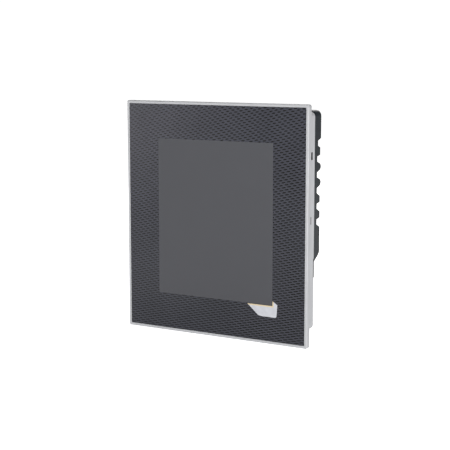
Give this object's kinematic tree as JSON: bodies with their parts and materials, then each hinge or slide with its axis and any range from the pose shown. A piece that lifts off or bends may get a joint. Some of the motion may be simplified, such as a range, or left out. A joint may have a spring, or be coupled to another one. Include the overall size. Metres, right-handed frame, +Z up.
{
  "type": "operator touch panel",
  "caption": "Portrait touch panel for a cabinet door: slim metal frame, patterned foil, flat screen, sheet metal tray and ribbed rear cover over a cable bay.",
  "frame": {"origin": "centre of the cut-out in the cabinet door, in the plane where the sealing ring meets the door's outer face; the front frame's centre is 2 mm lower", "axes": "+X to the right seen from the front, +Y into the cabinet so the screen faces -Y, +Z up"},
  "size_m": [0.161, 0.0348, 0.181],
  "materials": {
    "frame_aluminium": "fine satin, anodised",
    "foil_print": "printed film with a woven dash pattern",
    "window_film": "anti-glare film over a dark display",
    "tag_plastic": "satin, blank",
    "panel_glass": "clear",
    "black_foam": "matt foam",
    "seal_rubber": "matt",
    "plain_steel": "rolled sheet",
    "screw_steel": "zinc plated",
    "lcd_glass": "polarising film on glass",
    "clear_acrylic": "polished",
    "led_strip": "lamps on a narrow board",
    "white_plastic": "moulded",
    "ribbon_white": "flat flexible cable",
    "ribbon_amber": "flexible film",
    "tray_paint": "light grey, smooth powder coat",
    "brass": "turned",
    "board_green": "solder mask",
    "chip_plastic": "moulded",
    "sink_aluminium": "extruded",
    "can_aluminium": "drawn",
    "socket_plastic": "moulded",
    "port_steel": "tinned sheet",
    "contact_gold": "plated",
    "terminal_green": "moulded",
    "switch_blue": "moulded",
    "dial_plastic": "moulded",
    "button_plastic": "moulded",
    "led_lens": "diffusing",
    "cell_steel": "nickel plated",
    "cover_plastic": "fine eroded texture, dark grey",
    "label_film": "blank silver film"
  },
  "bodies": {
    "panel": {"front_frame": "frame_aluminium", "front_foil": "foil_print", "display_window": "window_film", "nameplate": "tag_plastic", "touch_glass": "panel_glass", "touch_seal": "black_foam", "sealing_ring": "seal_rubber", "lcd_bezel": "plain_steel", "lcd_cell": "lcd_glass", "light_guide": "clear_acrylic", "led_strip": "led_strip", "backlight_tray": "white_plastic", "display_foam": "black_foam", "display_carrier": "plain_steel", "carrier_screws": "screw_steel", "display_ribbon": "ribbon_white", "touch_ribbon": "ribbon_amber", "housing_tray": "tray_paint", "clip_guides": "chip_plastic", "tray_screws": "screw_steel", "earth_terminal": "brass", "board_pillars": "brass", "main_board": "board_green", "board_screws": "screw_steel", "processor": "chip_plastic", "heat_sink": "sink_aluminium", "memory_chips": "chip_plastic", "filter_capacitors": "can_aluminium", "power_coils": "chip_plastic", "ribbon_sockets": "socket_plastic", "ethernet_port": "port_steel", "ethernet_contacts": "contact_gold", "usb_port_left": "port_steel", "usb_port_right": "port_steel", "usb_tongues": "white_plastic", "power_header": "terminal_green", "power_pins": "contact_gold", "bus_header": "terminal_green", "bus_pins": "contact_gold", "switch_bodies": "switch_blue", "reset_switch": "chip_plastic", "status_leds": "led_lens", "light_pipes": "led_lens", "battery_holder": "chip_plastic", "battery_cell": "cell_steel", "rear_cover": "cover_plastic", "cover_screws": "screw_steel", "rating_label": "label_film"},
    "power_plug_body": {"power_plug": "terminal_green", "power_plug_screws": "screw_steel"},
    "bus_plug_body": {"bus_plug": "terminal_green", "bus_plug_screws": "screw_steel"},
    "reset_button_body": {"reset_button": "button_plastic"},
    "address_dial_left_body": {"address_dial_left": "dial_plastic"},
    "address_dial_right_body": {"address_dial_right": "dial_plastic"},
    "battery_door_body": {"battery_door": "cover_plastic"}
  },
  "joints": [
    {"name": "power_plug_pull", "type": "slide", "parent": "panel", "child": "power_plug_body", "axis": [0, 0, -1], "range_m": [0, 0.014]},
    {"name": "bus_plug_pull", "type": "slide", "parent": "panel", "child": "bus_plug_body", "axis": [0, 0, -1], "range_m": [0, 0.014]},
    {"name": "reset_press", "type": "slide", "parent": "panel", "child": "reset_button_body", "axis": [0, -1, 0], "range_m": [0, 0.0005], "stiffness_N_per_m": 800, "springref_m": -0.001},
    {"name": "address_left_turn", "type": "hinge", "parent": "panel", "child": "address_dial_left_body", "pos_m": [-0.009, 0.0236, -0.008], "axis": [0, -1, 0], "continuous": true},
    {"name": "address_right_turn", "type": "hinge", "parent": "panel", "child": "address_dial_right_body", "pos_m": [0.009, 0.0236, -0.008], "axis": [0, -1, 0], "continuous": true},
    {"name": "battery_door_hinge", "type": "hinge", "parent": "panel", "child": "battery_door_body", "pos_m": [0, 0.0283, 0.072], "axis": [1, 0, 0], "range_deg": [0, 95]}
  ]
}
